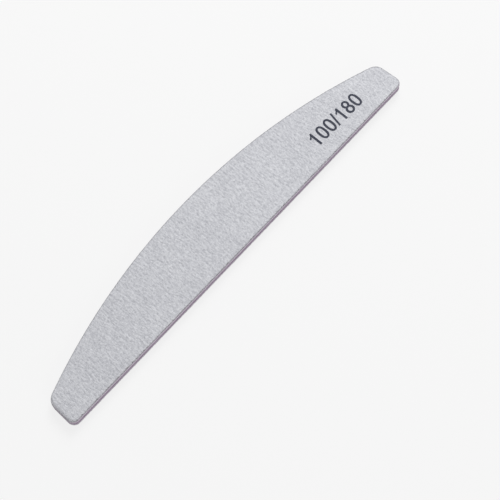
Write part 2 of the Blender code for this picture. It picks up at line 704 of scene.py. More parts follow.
@dataclass(frozen=True)
class GritFinish(Finish):
    """Abrasive grains in resin under a pale anti-clog coat, dark where that coat has broken off.
    The same dark grit colour is also painted shade on parts of the rim.

    The shares say how much the ridges, the grains, the creases and the slow patches each add to the
    tone between valley and crest. Each adds nothing at its own middle. The ridges and creases make
    the colour darker in their valleys and lighter on their crests, partly the coat's own tone and
    partly painted shade and light over the relief.
    """

    crest: Colour = srgb(229, 230, 234)
    valley: Colour = srgb(166, 167, 174)
    bare_and_shade: Colour = srgb(96, 94, 100)
    glint: Colour = srgb(150, 148, 154)
    speck: Colour = srgb(146, 145, 151)
    middle: float = 0.5
    ridge_span: float = 1.8
    ridge_share: float = 0.16
    grain: float = 0.30 * MM
    grain_share: float = 0.66
    glint_tones: Span = (0.55, 0.8)
    crease: float = 0.36 * MM
    crease_middle: float = 0.55
    crease_share: float = 0.36
    patch_pitch: float = 9 * MM
    patch_share: float = 0.22
    speck_pitch: float = 0.75 * MM
    speck_share: float = 0.03
    speck_depth: float = 0.75
    broken_pitch: float = 0.25 * MM
    broken: Span = (0.40, 0.62)
    relief: float = 0.030 * MM

    def paint(self, nodes: Nodes) -> Feeds:
        """Add up the tones, then lay over them the specks, and the dark grit of broken coat and of painted
        shade on parts of the rim.

        Args:
            nodes: The material's nodes.

        Returns:
            What each of the shader's inputs takes.
        """
        place = nodes.place()
        grains = nodes.effect(Effect.GRAINS, place, self.grain)
        creases = nodes.effect(Effect.CREASES, place, self.crease)
        # The ridges and creases darken the colour in valleys and creases and lighten it on crests, partly
        # the coat's own tone and partly painted shade and light.
        ridge = nodes.between(nodes.attribute("ridge"), -self.ridge_span, self.ridge_span)
        tones = (
            (ridge, self.middle, self.ridge_share),
            (grains["Tone"], self.middle, self.grain_share),
            (creases["Tone"], self.crease_middle, self.crease_share),
            (nodes.noise(place, self.patch_pitch), self.middle, self.patch_share),
        )
        toned: Socket | float = self.middle
        for tone, middle, share in tones:
            toned = nodes.maths("MULTIPLY_ADD", nodes.maths("SUBTRACT", tone, middle), share, toned)
        colour = nodes.mix(toned, self.valley, self.crest)
        specks = nodes.effect(Effect.SPECKS, place, self.speck_pitch, Share=self.speck_share)
        broken = nodes.between(nodes.noise(place, self.broken_pitch), *self.broken)
        broken = nodes.maths("MULTIPLY", broken, specks["Mask"])
        colour = nodes.mix(nodes.maths("MULTIPLY", broken, self.speck_depth), colour, self.speck)
        grit = nodes.mix(nodes.between(grains["Tone"], *self.glint_tones), self.bare_and_shade, self.glint)
        # Dark grit where the coat is chipped, cut or worn thin, and painted shade on parts of the rim.
        bared_and_shade = nodes.attribute("bared_and_shade")
        height = nodes.maths("MULTIPLY", grains["Height"], nodes.maths("ADD", bared_and_shade, 1.0))
        height = nodes.maths("ADD", height, creases["Height"])
        return {"Base Color": nodes.mix(bared_and_shade, colour, grit), "Normal": nodes.bump(height, self.relief)}


@dataclass(frozen=True)
class PaperFinish(Finish):
    """Grey backing paper: a felt of fibres on its faces, torn and dragged by the blade on its cut."""

    face: Colour = srgb(176, 173, 177)
    cut: Colour = srgb(148, 143, 149)
    fibre: Colour = srgb(178, 173, 178)
    line_pitch: float = 0.22 * MM
    felt_pitch: float = 0.4 * MM
    relief: float = 0.015 * MM

    def paint(self, nodes: Nodes) -> Feeds:
        """Mottle the faces, and lay pale fibre ends along the blade's lines on the cut.

        Args:
            nodes: The material's nodes.

        Returns:
            What each of the shader's inputs takes.
        """
        place = nodes.place()
        marks = nodes.effect(Effect.DRAG_MARKS, place, self.line_pitch)
        cut = nodes.mix(marks["Tone"], self.cut, self.fibre)
        face = nodes.mix(nodes.noise(place, self.felt_pitch, detail=4.0), self.fibre, self.face)
        colour = nodes.mix(nodes.attribute("cut"), face, cut)
        return {"Base Color": colour, "Normal": nodes.bump(marks["Height"], self.relief)}


@dataclass(frozen=True)
class GlueFinish(Finish):
    """A film of clear adhesive, with dust caught in the sticky edge."""

    film: Colour = srgb(206, 196, 206)
    dusty: Colour = srgb(168, 158, 168)
    dust_pitch: float = 0.6 * MM
    dust_tones: Span = (0.45, 0.7)
    dust_roughness: float = 0.35
    relief: float = 0.010 * MM

    def paint(self, nodes: Nodes) -> Feeds:
        """Make the film duller where dust has stuck.

        Args:
            nodes: The material's nodes.

        Returns:
            What each of the shader's inputs takes.
        """
        noise = nodes.noise(nodes.place(), self.dust_pitch, detail=4.0)
        dust = nodes.between(noise, *self.dust_tones)
        return {
            "Base Color": nodes.mix(dust, self.film, self.dusty),
            "Roughness": nodes.maths("MULTIPLY_ADD", dust, self.dust_roughness, self.roughness),
            "Normal": nodes.bump(dust, self.relief),
        }


@dataclass(frozen=True)
class FoamFinish(Finish):
    """Closed-cell foam: a pale lilac body with darker cell mouths that the blade has opened."""

    wall: Colour = srgb(224, 217, 227)
    body: Colour = srgb(215, 206, 219)
    pore: Colour = srgb(192, 176, 197)
    cell: float = 0.20 * MM
    mouth_heights: Span = (0.62, 0.86)
    open_tones: Span = (0.35, 0.75)
    line_pitch: float = 0.5 * MM
    line_relief: float = 0.4
    patch_pitch: float = 6 * MM
    relief: float = 0.045 * MM

    def paint(self, nodes: Nodes) -> Feeds:
        """Open some cells' mouths, between the blade's lines and slow patches of tone.

        Args:
            nodes: The material's nodes.

        Returns:
            What each of the shader's inputs takes.
        """
        place = nodes.place()
        cells = nodes.effect(Effect.GRAINS, place, self.cell)
        marks = nodes.effect(Effect.DRAG_MARKS, place, self.line_pitch)
        patches = nodes.noise(place, self.patch_pitch)
        body = nodes.mix(nodes.maths("MULTIPLY", patches, marks["Tone"]), self.body, self.wall)
        mouths = nodes.between(cells["Height"], *self.mouth_heights)
        mouths = nodes.maths("MULTIPLY", mouths, nodes.between(cells["Tone"], *self.open_tones))
        lines = nodes.maths("MULTIPLY", marks["Height"], self.line_relief)
        sunk = nodes.maths("SUBTRACT", lines, mouths)
        return {"Base Color": nodes.mix(mouths, body, self.pore), "Normal": nodes.bump(sunk, self.relief)}


@dataclass(frozen=True)
class CoreFinish(Finish):
    """Plum plastic sheet: burnished where the blade slid, paler where it snapped and at worn corners."""

    plastic: Colour = srgb(157, 133, 159)
    deep: Colour = srgb(136, 111, 139)
    stressed: Colour = srgb(184, 163, 186)
    line_pitch: float = 0.35 * MM
    snap_pitch: float = 2.5 * MM
    snap_wander: float = 0.5
    snap_levels: Span = (0.95, 1.05)
    snap_share: float = 0.45
    snap_roughness: float = 0.3
    corner_levels: Span = (0.43, 0.5)
    corner_share: float = 0.6
    relief: float = 0.020 * MM

    def paint(self, nodes: Nodes) -> Feeds:
        """Draw upright blade lines, a pale snapped band low on the cut, and pale corners.

        Args:
            nodes: The material's nodes.

        Returns:
            What each of the shader's inputs takes.
        """
        place = nodes.place()
        marks = nodes.effect(Effect.DRAG_MARKS, place, self.line_pitch)
        plastic = nodes.mix(marks["Tone"], self.deep, self.plastic)
        level = nodes.attribute("fall")
        wander = nodes.noise(place, self.snap_pitch)
        wander = nodes.maths("MULTIPLY_ADD", wander, self.snap_wander, level)
        snapped = nodes.between(wander, *self.snap_levels)
        from_middle = nodes.maths("ABSOLUTE", nodes.maths("SUBTRACT", level, 0.5))
        corner = nodes.between(from_middle, *self.corner_levels)
        corner = nodes.maths("MULTIPLY", corner, self.corner_share)
        pale = nodes.maths("MAXIMUM", nodes.maths("MULTIPLY", snapped, self.snap_share), corner)
        return {
            "Base Color": nodes.mix(pale, plastic, self.stressed),
            "Roughness": nodes.maths("MULTIPLY_ADD", snapped, self.snap_roughness, self.roughness),
            "Normal": nodes.bump(marks["Height"], self.relief),
        }


@dataclass(frozen=True)
class InkFinish(Finish):
    """Dark ink printed on a rough face, thinner where grains stand up through it."""

    ink: Colour = srgb(22, 28, 48)
    thin: Colour = srgb(47, 53, 73)
    grain: float = 0.30 * MM
    thin_tones: Span = (0.55, 0.95)
    thin_share: float = 0.8
    relief: float = 0.020 * MM

    def paint(self, nodes: Nodes) -> Feeds:
        """Thin the ink at the grain's pitch.

        Args:
            nodes: The material's nodes.

        Returns:
            What each of the shader's inputs takes.
        """
        grains = nodes.effect(Effect.GRAINS, nodes.place(), self.grain)
        thin = nodes.between(grains["Tone"], *self.thin_tones)
        thin = nodes.maths("MULTIPLY", thin, self.thin_share)
        return {
            "Base Color": nodes.mix(thin, self.ink, self.thin),
            "Normal": nodes.bump(grains["Height"], self.relief),
        }


@dataclass(frozen=True)
class FloorFinish(Finish):
    """A pale table that keeps the board's shadow.

    To the camera, and in reflections, part of its light is its own, so that it reads as an even near
    white. To the board it is a plain grey.
    """

    plain: Colour = srgb(186, 186, 186)
    glow: float = 0.80
    glow_plain: Colour = srgb(103, 103, 103)

    def paint(self, nodes: Nodes) -> Feeds:
        """Let only camera and mirror rays see the glow.

        Args:
            nodes: The material's nodes.

        Returns:
            What each of the shader's inputs takes.
        """
        seen = nodes.mirror_seen()
        return {
            "Base Color": nodes.mix(seen, self.plain, self.glow_plain),
            "Emission Color": WHITE,
            "Emission Strength": nodes.maths("MULTIPLY", seen, self.glow),
        }


@dataclass
class Stations:
    """The points of a layer's section, by station and by sample of the outline.

    A station has an inset from the cut, and a fall, which is 0 on the upper face, 1 on the lower face
    and between them on the cut.
    """

    inset: Array
    fall: Array
    points: Array


@dataclass
class Dressing:
    """What is added to plain points: steps inwards and upwards, and values for the material."""

    deeper: Array | float = 0.0
    higher: Array | float = 0.0
    values: dict[str, Array] = field(default_factory=dict)


@dataclass
class Layer:
    """One sheet of the laminate, carried round the outline and closed on both faces.

    Its section is a row of stations, from the inner end of the upper rim, over the cut, to the inner
    end of the lower rim.
    """

    name: str
    node: str
    slot: str
    finish: Finish
    outline: Outline
    pinch: Pinch
    upper_pull: Pull = Pull.FLAT
    lower_pull: Pull = Pull.FLAT
    cells_along: int = 720
    cells_across: int = 52
    rim_stations: int = 5
    crowding: float = 1.5
    wall_stations: int = 3
    strip_height: float = 20 * MM
    sharp_angle: float = math.radians(48)

    def __post_init__(self) -> None:
        """Take the flat heights of both faces from the solid, less what its rims add to its box."""
        low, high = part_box(self.node)
        self.lower = low.z + (self.pinch.depth if self.lower_pull is Pull.DOWN else 0.0)
        self.upper = high.z - (self.pinch.depth if self.upper_pull is Pull.UP else 0.0)
        self.edge = self.outline.boundary(self.cells_along, self.cells_across)

    @property
    def thickness(self) -> float:
        """The distance between the two flat faces."""
        return self.upper - self.lower

    def rims(self) -> list[Array]:
        """The insets of each face's stations, from the cut inwards, closer together near the cut.

        Returns:
            The upper face's and the lower face's. A flat face has one, at the cut.
        """
        pinched = self.pinch.width * np.linspace(0, 1, self.rim_stations) ** self.crowding
        pulls = (self.upper_pull, self.lower_pull)
        return [np.zeros(1) if pull is Pull.FLAT else pinched for pull in pulls]

    def section(self) -> tuple[Array, Array]:
        """The row of stations.

        Returns:
            The inset of each, and its fall.
        """
        upper, lower = self.rims()
        wall = np.linspace(0, 1, self.wall_stations + 2)[1:-1]
        inset = np.concatenate((upper[::-1], np.zeros(len(wall)), lower))
        fall = np.concatenate((np.zeros(len(upper)), wall, np.ones(len(lower))))
        return inset, fall

    def carry(self) -> Stations:
        """Carry the section round the outline, with both faces pinched by the die.

        A point's height is (1 - fall) times the upper face's, plus fall times the lower face's.

        Returns:
            The points.
        """
        inset, fall = (np.repeat(row[:, None], self.edge.count, axis=1) for row in self.section())
        pinched = self.pinch.at(inset)
        upper = self.upper + self.upper_pull * pinched
        lower = self.lower + self.lower_pull * pinched
        flat = self.edge.points - inset[..., None] * self.edge.normals
        return Stations(inset, fall, np.dstack((flat, (1 - fall) * upper + fall * lower)))

    def leaned(self) -> Array:
        """How the leaning blade shares out a sheet's setback: 1 - lean . normal over the core, 1 + under."""
        return 1 + self.lower_pull * (self.edge.normals @ np.array(self.pinch.blade_lean))

    def strip_noise(self, pitch: tuple[float, float], seed: int, **look: Pattern | float) -> Noise:
        """Noise on a strip as long as the outline, which closes on itself round the cut."""
        return Noise((self.edge.perimeter, self.strip_height), pitch, seed, **look)

    def on_cut(self, noise: Noise, depth: Array) -> Array:
        """Such noise at the outline's samples, at each point's depth down the strip."""
        return noise.at(np.broadcast_to(self.edge.distance, depth.shape), depth)

    def dress_cut(self, plain: Stations) -> Dressing:
        """What the cut and the rims add, where the face beside the cut is drawn along by a share."""
        return Dressing()

    def dress_face(self, points: Array) -> Dressing:
        """What a face adds to the flat points inside its rim."""
        return Dressing()

    def has_patch(self, fall: float) -> bool:
        """Whether the face with this fall has a fine patch inside its rim, and not plain strips."""
        return False

    def strips(self, ring: Indices) -> list[Indices]:
        """A flat face of strips across the board, with one face at each end, pointing up.

        Args:
            ring: The point numbers of the closed ring round it.

        Returns:
            The strips and the two end faces.
        """
        bottom, right, top, left = (ring[side] for side in self.edge.sides())
        rungs = np.column_stack((bottom[:-1], bottom[1:], top[1:], top[:-1]))
        return [rungs, right[None], left[None, ::-1]]

    def patch(self, ring: Indices, points: Array, first_new: int) -> tuple[Indices, Array]:
        """A fine patch inside a closed ring.

        With u and v from 0 to 1 along and across, B, T, L and R the four sides and P their corners, a
        point is (1 - v) B(u) + v T(u) + (1 - u) L(v) + u R(v), less the same blend of the corners,
        (1 - u)(1 - v) P00 + u (1 - v) P10 + (1 - u) v P01 + u v P11.

        Args:
            ring: The ring's point numbers.
            points: The ring's points.
            first_new: The number that the patch's first inner point gets.

        Returns:
            The patch's point numbers, by column and row, and its inner points.
        """
        along, across = self.edge.along, self.edge.across
        bottom, right, top, left = self.edge.sides()
        u = np.linspace(0, 1, along + 1)[:, None, None]
        v = np.linspace(0, 1, across + 1)[None, :, None]
        sides = (1 - v) * points[bottom][:, None] + v * points[top][:, None]
        ends = (1 - u) * points[left][None] + u * points[right][None]
        feet = (1 - u) * points[bottom[0]] + u * points[bottom[-1]]
        tops = (1 - u) * points[top[0]] + u * points[top[-1]]
        blended = sides + ends - (1 - v) * feet - v * tops
        ids = np.empty((along + 1, across + 1), int)
        ids[1:-1, 1:-1] = first_new + np.arange((along - 1) * (across - 1)).reshape(along - 1, -1)
        ids[:, 0], ids[:, -1] = ring[bottom], ring[top]
        ids[0, :], ids[-1, :] = ring[left], ring[right]
        return ids, blended[1:-1, 1:-1].reshape(-1, 3)

    def build(self) -> bpy.types.Object:
        """Make the layer's piece, put it in its node's place, and give it its finish.

        Returns:
            The piece.
        """
        plain = self.carry()
        points, added = plain.points, self.dress_cut(plain)
        points[..., :2] -= (added.deeper * self.pinch.drawn(plain.inset))[..., None] * self.edge.normals
        points[..., 2] += added.higher
        values = {"cut": (plain.inset == 0).astype(float), "fall": plain.fall, **added.values}
        held = {name: [value.ravel()] for name, value in values.items()}
        ids = np.arange(plain.inset.size).reshape(plain.inset.shape)
        rows, faces = [points.reshape(-1, 3)], [grid_quads(ids, wraps=True)]
        for ring, fall, level in ((0, 0.0, self.upper), (-1, 1.0, self.lower)):
            if self.has_patch(fall):
                numbers, inner = self.patch(ids[ring], points[ring], sum(map(len, rows)))
                face = self.dress_face(inner)
                inner[:, 2] = level + face.higher
                rows.append(inner)
                inner_values = {"fall": np.full(len(inner), fall), **face.values}
                for name, parts in held.items():
                    parts.append(inner_values.get(name, np.zeros(len(inner))))
                made = [grid_quads(numbers)]
            else:
                made = self.strips(ids[ring])
            faces += [group[:, ::-1] for group in made] if fall else made
        mesh = make_mesh(self.name, np.concatenate(rows), faces)
        for name, parts in held.items():
            layer = mesh.attributes.new(name, "FLOAT", "POINT")
            layer.data.foreach_set("value", np.concatenate(parts).astype(np.float32))
        mesh.shade_smooth()
        mesh.set_sharp_from_angle(angle=self.sharp_angle)
        piece = add_piece(self.name, mesh, self.finish.material())
        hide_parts(self.node)
        log.info("%s: %d faces, %.2f mm thick", self.name, len(mesh.polygons), self.thickness / MM)
        return piece


@dataclass
class Coat(Layer):
    """An abrasive coat: crinkled on its outer face and chipped along its cut.

    The crinkles are ridges across the board that wander sideways, weaker towards the right end. They
    lie at or below the solid's face, so their crests reach it. Chips are where the blade has broken
    the pale coat off its grit.
    """

    grade: Grade = Grade.COARSE
    cells_along: int = 880
    cells_across: int = 60
    rim_stations: int = 15
    rim_width: float = 1.3 * MM
    rim_crowding: float = 1.6
    inner_stations: int = 5
    strip_height: float = 4 * MM

    # The crinkles
    margin: float = 10 * MM
    ridge_pitch: float = 1.55 * MM
    ridge_length: float = 5.5 * MM
    ridge_band: float = 0.35
    ridge_depth: float = 0.017 * MM
    ridge_crest: float = 2.0
    ridge_skew: float = 0.15
    left_strength: float = 1.12
    right_loss: float = 0.32
    pucker_pitch: float = 0.80 * MM
    pucker_length: float = 2.4 * MM
    pucker_share: float = 0.55
    wander: float = 0.24 * MM
    wander_pitch: float = 7.0 * MM

    # The cut and its chips
    chip_pitch: float = 1.0 * MM
    chip_band: float = 0.7
    chip_reach: float = 0.15 * MM
    chip_bias: float = 0.2
    chip_softness: float = 0.08 * MM
    chip_drop_share: float = 0.45
    chip_step_share: float = 0.3
    setback: float = 0.12 * MM
    cut_bare: float = 0.16

    # The wear along the rim, and painted shade on parts of it
    rim_bare: float = 0.25
    rim_bare_width: float = 0.45 * MM
    rim_bare_full: float = 0.15
    # Painted shade, with some wear, on the left end's rim, which faces away from the key lamp; the lip at
    # the cut gets less of it.
    end_from: float = 3 * MM
    end_ramp: float = 2 * MM
    end_shade_and_wear: float = 0.35
    end_width: float = 3.0
    lip_width: float = 0.3 * MM
    lip_share: float = 0.8
    # Painted shade on the rims that face the key lamp: that lamp's way across the board, and how much darker
    # and wider it makes them.
    painted_shade_way: tuple[float, float] = (0.874, 0.486)
    painted_shade_gain: float = 2.0
    painted_shade_width: float = 0.3

    seed: int = 11

    def __post_init__(self) -> None:
        """Fill the noise that the crinkles and the chips read."""
        super().__post_init__()
        box = (self.outline.length + self.margin, self.outline.width + self.margin)
        ridge = (self.ridge_pitch, self.ridge_length)
        pucker = (self.pucker_pitch, self.pucker_length)
        self.ridges = Noise(box, ridge, self.seed, Pattern.RIDGES, self.ridge_band)
        self.sway = Noise(box, (self.wander_pitch, self.wander_pitch), self.seed + 1)
        self.puckers = Noise(box, pucker, self.seed + 3, Pattern.RIDGES)
        chip = (self.chip_pitch, self.chip_pitch)
        self.chips = self.strip_noise(chip, self.seed + 2, band=self.chip_band)

    def rims(self) -> list[Array]:
        """The plain insets, but many more on the outer face than on the inner one.

        Returns:
            The upper face's and the lower face's.
        """
        outer = self.rim_width * np.linspace(0, 1, self.rim_stations) ** self.rim_crowding
        inner = self.pinch.width * np.linspace(0, 1, self.inner_stations) ** self.crowding
        return [outer, inner] if self.grade is Grade.COARSE else [inner, outer]

    def ridge_tone(self, x: Array, y: Array) -> Array:
        """The ridges' height in units of their spread, after their course has been shifted sideways.

        The tone t is skewed to t - ridge_skew (t^2 - 1), which makes valleys sharper than crests.

        Args:
            x: Places along the board.
            y: Places across it.

        Returns:
            The tone, above 0 on crests and under 0 in valleys.
        """
        shifted = x + self.wander * self.sway.at(x, y)
        tone = self.ridges.at(shifted, y) + self.pucker_share * self.puckers.at(shifted, y)
        tone /= math.hypot(1, self.pucker_share)
        strength = self.left_strength - self.right_loss * (x / self.outline.length + 0.5)
        return (tone - self.ridge_skew * (tone**2 - 1)) * strength

    def sink(self, tone: Array) -> Array:
        """How far the crinkled face lies under the solid's: nothing on the crests, and never above."""
        return self.ridge_depth * (self.ridge_crest - np.minimum(tone, self.ridge_crest))

    def dress_cut(self, plain: Stations) -> Dressing:
        """Crinkles over the rim, and chips that start at the cut.

        A chip reaches inwards by chip_reach times the chip noise where that is above zero. The face
        drops there, and the cut steps back a little. The pale coat also thins out towards the cut, over
        rim_bare_width. On the left end the rim is darkened further in, as painted shade on a rim that
        faces away from the key lamp, with some wear; the lip there, lip_width wide, is darkened less.
        Rims that face the key lamp are darkened more and further in, which is painted shade.

        Args:
            plain: The plain points.

        Returns:
            What the cut and the rims add.
        """
        inset, x, y = plain.inset, plain.points[..., 0], plain.points[..., 1]
        tone = self.ridge_tone(x, y)
        outer = 1 - plain.fall if self.grade is Grade.COARSE else plain.fall
        ragged = self.on_cut(self.chips, np.zeros_like(inset)) + self.chip_bias
        # The left end, whose rim gets painted shade with some wear.
        end = smooth_step((-x - self.outline.length / 2 + self.end_from) / self.end_ramp)
        # Rims that face the key lamp get painted shade.
        key_facing_shade = np.clip(self.edge.normals @ np.array(self.painted_shade_way), 0, None)
        width = self.rim_bare_width * (1 + self.end_width * end + self.painted_shade_width * key_facing_shade)
        lip = 1 - self.lip_share * end * smooth_step(1 - inset / self.lip_width)
        # How far the coat thins at the rim, with painted shade on the left end and on rims that face the key
        # lamp.
        thinning_and_shade = self.rim_bare * lip * (1 + self.end_shade_and_wear * end + self.painted_shade_gain * key_facing_shade)
        thinned_and_shaded = thinning_and_shade * smooth_step(1 + self.rim_bare_full - inset / width)
        reach = self.chip_reach * np.clip(ragged, 0, None) * (1 - self.lip_share * end)
        chipped = smooth_step((reach - inset) / self.chip_softness) * (outer > 0)
        bared_and_shade = np.where((inset == 0) & (outer < 1), self.cut_bare, np.maximum(chipped, thinned_and_shaded))
        drop = self.chip_drop_share * self.thickness * chipped * outer
        return Dressing(
            deeper=self.setback * self.leaned() + self.chip_step_share * reach,
            higher=-self.grade.outward * (self.sink(tone) * outer + drop),
            values={"ridge": tone, "bared_and_shade": bared_and_shade},
        )

    def dress_face(self, points: Array) -> Dressing:
        """Crinkles over the flat middle."""
        tone = self.ridge_tone(points[:, 0], points[:, 1])
        return Dressing(higher=-self.grade.outward * self.sink(tone), values={"ridge": tone})

    def has_patch(self, fall: float) -> bool:
        """The outer face has one."""
        return (fall == 0) == (self.grade is Grade.COARSE)


@dataclass
class Paper(Layer):
    """Backing paper, whose fibres stand out unevenly along the cut."""

    strip_height: float = 2 * MM
    setback: float = 0.09 * MM
    fibre_pitch: float = 0.5 * MM
    fibre_reach: float = 0.018 * MM
    seed: int = 31

    def dress_cut(self, plain: Stations) -> Dressing:
        """A cut set back under the coat, that steps in and out by fibre_reach.

        Args:
            plain: The plain points.

        Returns:
            What the cut adds.
        """
        fibres = self.strip_noise((self.fibre_pitch, self.fibre_pitch), self.seed)
        uneven = self.on_cut(fibres, plain.fall * self.thickness)
        return Dressing(deeper=self.setback * self.leaned() + self.fibre_reach * (1 - uneven))


@dataclass
class Glue(Layer):
    """A film of adhesive that ends a little short of the cut, by an uneven amount."""

    rim_stations: int = 4
    wall_stations: int = 1
    setback: float = 0.09 * MM
    setback_pitch: float = 4.0 * MM
    setback_spread: float = 0.4
    seed: int = 51

    def dress_cut(self, plain: Stations) -> Dressing:
        """A cut set back by setback, more or less by the share setback_spread.

        Args:
            plain: The plain points.

        Returns:
            What the cut adds.
        """
        spread = self.strip_noise((self.setback_pitch, self.setback_pitch), self.seed)
        uneven = self.on_cut(spread, np.zeros_like(plain.inset))
        return Dressing(deeper=self.setback * self.leaned() * (1 + self.setback_spread * uneven))


@dataclass
class Foam(Layer):
    """A foam layer, squeezed a little outwards at its cut and open-pored there."""

    cells_along: int = 1400
    cells_across: int = 100
    wall_stations: int = 11
    strip_height: float = 4 * MM
    bulge: float = 0.07 * MM
    roundness: float = 0.4
    pore_pitch: float = 0.42 * MM
    pore_band: float = 0.6
    pore_depth: float = 0.016 * MM
    seed: int = 71

    def dress_cut(self, plain: Stations) -> Dressing:
        """A cut that bulges as (4 fall (1 - fall))^roundness, with pores sunk into it.

        Args:
            plain: The plain points.

        Returns:
            What the cut adds.
        """
        pores = self.strip_noise((self.pore_pitch, self.pore_pitch), self.seed, band=self.pore_band)
        depth = self.on_cut(pores, plain.fall * self.thickness)
        swell = (4 * plain.fall * (1 - plain.fall)) ** self.roundness
        return Dressing(deeper=swell * (self.pore_depth * (1 + np.abs(depth)) - self.bulge))

    def build(self) -> bpy.types.Object:
        """Returns:
            The piece.
        """
        piece = super().build()
        return piece


@dataclass
class Core(Layer):
    """The stiff plastic core: small rounded corners, blade lines and a snapped band low on its cut."""

    wall_stations: int = 13
    setback: float = 0.05 * MM
    corner: float = 0.05 * MM
    corner_stations: int = 4
    line_pitch: float = 0.6 * MM
    line_length: float = 9 * MM
    line_depth: float = 0.006 * MM
    snap_level: float = 0.66
    snap_sway: float = 0.05
    snap_pitch: float = 5 * MM
    snap_ramp: float = 0.08
    snap_step: float = 0.02 * MM
    seed: int = 91

    def section(self) -> tuple[Array, Array]:
        """Stations down the cut alone, with extra ones where the corners turn.

        Returns:
            The inset of each, and its fall.
        """
        plain = np.linspace(0, 1, self.wall_stations)
        share = self.corner / self.thickness
        turn = share * (1 - np.cos(np.linspace(0, math.pi / 2, self.corner_stations)))
        fall = np.concatenate((turn, plain[(plain > share) & (plain < 1 - share)], 1 - turn[::-1]))
        return np.zeros(len(fall)), fall

    def dress_cut(self, plain: Stations) -> Dressing:
        """Corners as quarter circles, upright blade lines, and a step back where the sheet snapped.

        Args:
            plain: The plain points.

        Returns:
            What the cut adds.
        """
        lines = self.strip_noise((self.line_pitch, self.line_length), self.seed, pattern=Pattern.RIDGES)
        edge = self.strip_noise((self.snap_pitch, self.snap_pitch), self.seed + 1)
        from_face = np.minimum(plain.fall, 1 - plain.fall) * self.thickness
        off_centre = np.clip(self.corner - from_face, 0, self.corner)
        rounded = self.corner - np.sqrt(self.corner**2 - off_centre**2)
        level = self.snap_level + self.snap_sway * self.on_cut(edge, np.zeros_like(plain.inset))
        snapped = smooth_step((plain.fall - level) / self.snap_ramp) * self.snap_step
        lined = self.line_depth * self.on_cut(lines, plain.fall * self.thickness)
        return Dressing(deeper=self.setback + rounded + snapped + lined)


def superellipse(angle: Array, half_width: float, half_height: float, power: float = 2.0) -> Array:
    """Points of a superellipse about the origin: each coordinate's share to the power sums to 1.

    Args:
        angle: The angle parameter of each point.
        half_width: Half its width.
        half_height: Half its height.
        power: 2 for an ellipse, more for squarer shoulders.

    Returns:
        The points, as an (n, 2) array.
    """
    cosine, sine = np.cos(angle), np.sin(angle)
    x = half_width * np.sign(cosine) * np.abs(cosine) ** (2 / power)
    y = half_height * np.sign(sine) * np.abs(sine) ** (2 / power)
    return np.column_stack((x, y))


def subdivide(rail: Array, cells: int) -> Array:
    """Split each straight run of a rail.

    Args:
        rail: The rail's corners, as an (n, 2) array.
        cells: How many cells each run gets.

    Returns:
        The rail's points, as an (n, 2) array.
    """
    share = np.arange(cells)[None, :, None] / cells
    split = rail[:-1, None] * (1 - share) + rail[1:, None] * share
    return np.vstack((split.reshape(-1, 2), rail[-1:]))


@dataclass
class Stroke:
    """One stroke of a digit: the surface between two rails, closed on itself or open."""

    left: Array
    right: Array
    closed: bool

    def moved(self, step: Array) -> "Stroke":
        """The same stroke, a step away."""
        return Stroke(self.left + step, self.right + step, self.closed)


